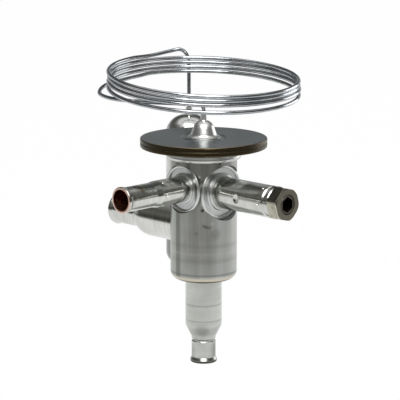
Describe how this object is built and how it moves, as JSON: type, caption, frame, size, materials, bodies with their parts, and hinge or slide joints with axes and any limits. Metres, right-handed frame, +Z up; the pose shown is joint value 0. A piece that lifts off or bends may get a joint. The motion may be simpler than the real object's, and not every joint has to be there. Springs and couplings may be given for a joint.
{
  "type": "thermostatic expansion valve",
  "caption": "Hermetic steel thermostatic expansion valve with solder sockets, a side setting spindle, a round power element, coiled capillary and cylinder bulb.",
  "frame": {"origin": "centre of the inlet solder socket's mouth, on the axis of the body", "axes": "+Z up the body's axis to the power element, +X along the setting spindle's arm, -Y along the equalizer tube, -X along the outlet tube"},
  "size_m": [0.0719, 0.0626, 0.092],
  "materials": {
    "body_steel": "satin",
    "tube_steel": "polished",
    "element_steel": "satin",
    "socket_copper": "satin",
    "capillary_steel": "polished",
    "gland_steel": "satin",
    "seal_rubber": "matte",
    "spring_steel": "satin",
    "bulb_steel": "satin",
    "core_steel": "satin",
    "core_brass": "satin",
    "strainer_steel": "matte"
  },
  "bodies": {
    "valve": {"valve_body": "body_steel", "inlet_tube": "tube_steel", "inlet_liner": "socket_copper", "equalizer_tube": "tube_steel", "equalizer_liner": "socket_copper", "outlet_tube": "tube_steel", "outlet_liner": "socket_copper", "spindle_tube": "tube_steel", "gland_nut": "gland_steel", "spindle_bush": "core_steel", "element_base": "element_steel", "element_cover": "element_steel", "diaphragm": "core_steel", "bell_cap": "tube_steel", "superheat_spring": "spring_steel", "guide_plate": "core_steel", "rod_seal": "seal_rubber", "seal_washer": "core_steel", "orifice_seat": "core_steel", "inlet_strainer": "strainer_steel", "capillary_tube": "capillary_steel", "sensing_bulb": "bulb_steel"},
    "spindle": {"setting_spindle": "gland_steel", "inner_oring": "seal_rubber", "outer_oring": "seal_rubber"},
    "wedge": {"adjusting_wedge": "core_brass"},
    "seat": {"spring_seat": "core_steel"},
    "stroke": {"thrust_pad": "core_steel", "push_rod": "core_steel", "valve_cone": "core_steel"}
  },
  "joints": [
    {"name": "spindle_turn", "type": "hinge", "parent": "valve", "child": "spindle", "pos_m": [0.03435, 0, 0.0534], "axis": [1, 0, 0], "range_deg": [-720, 720]},
    {"name": "wedge_slide", "type": "slide", "parent": "valve", "child": "wedge", "axis": [1, 0, 0], "range_m": [-0.0012, 0.0012]},
    {"name": "seat_lift", "type": "slide", "parent": "valve", "child": "seat", "axis": [0, 0, 1], "range_m": [-0.0003, 0.0003], "deforming": ["superheat_spring"]},
    {"name": "valve_stroke", "type": "slide", "parent": "valve", "child": "stroke", "axis": [0, 0, 1], "range_m": [-0.0007, 0], "stiffness_N_per_m": 4000, "springref_m": 0.0002, "deforming": ["superheat_spring", "diaphragm"]}
  ],
  "couplings": [
    {"joint": "spindle_turn", "follows": "wedge_slide", "rad_per_m": -10472},
    {"joint": "seat_lift", "follows": "wedge_slide", "ratio": 0.25}
  ]
}
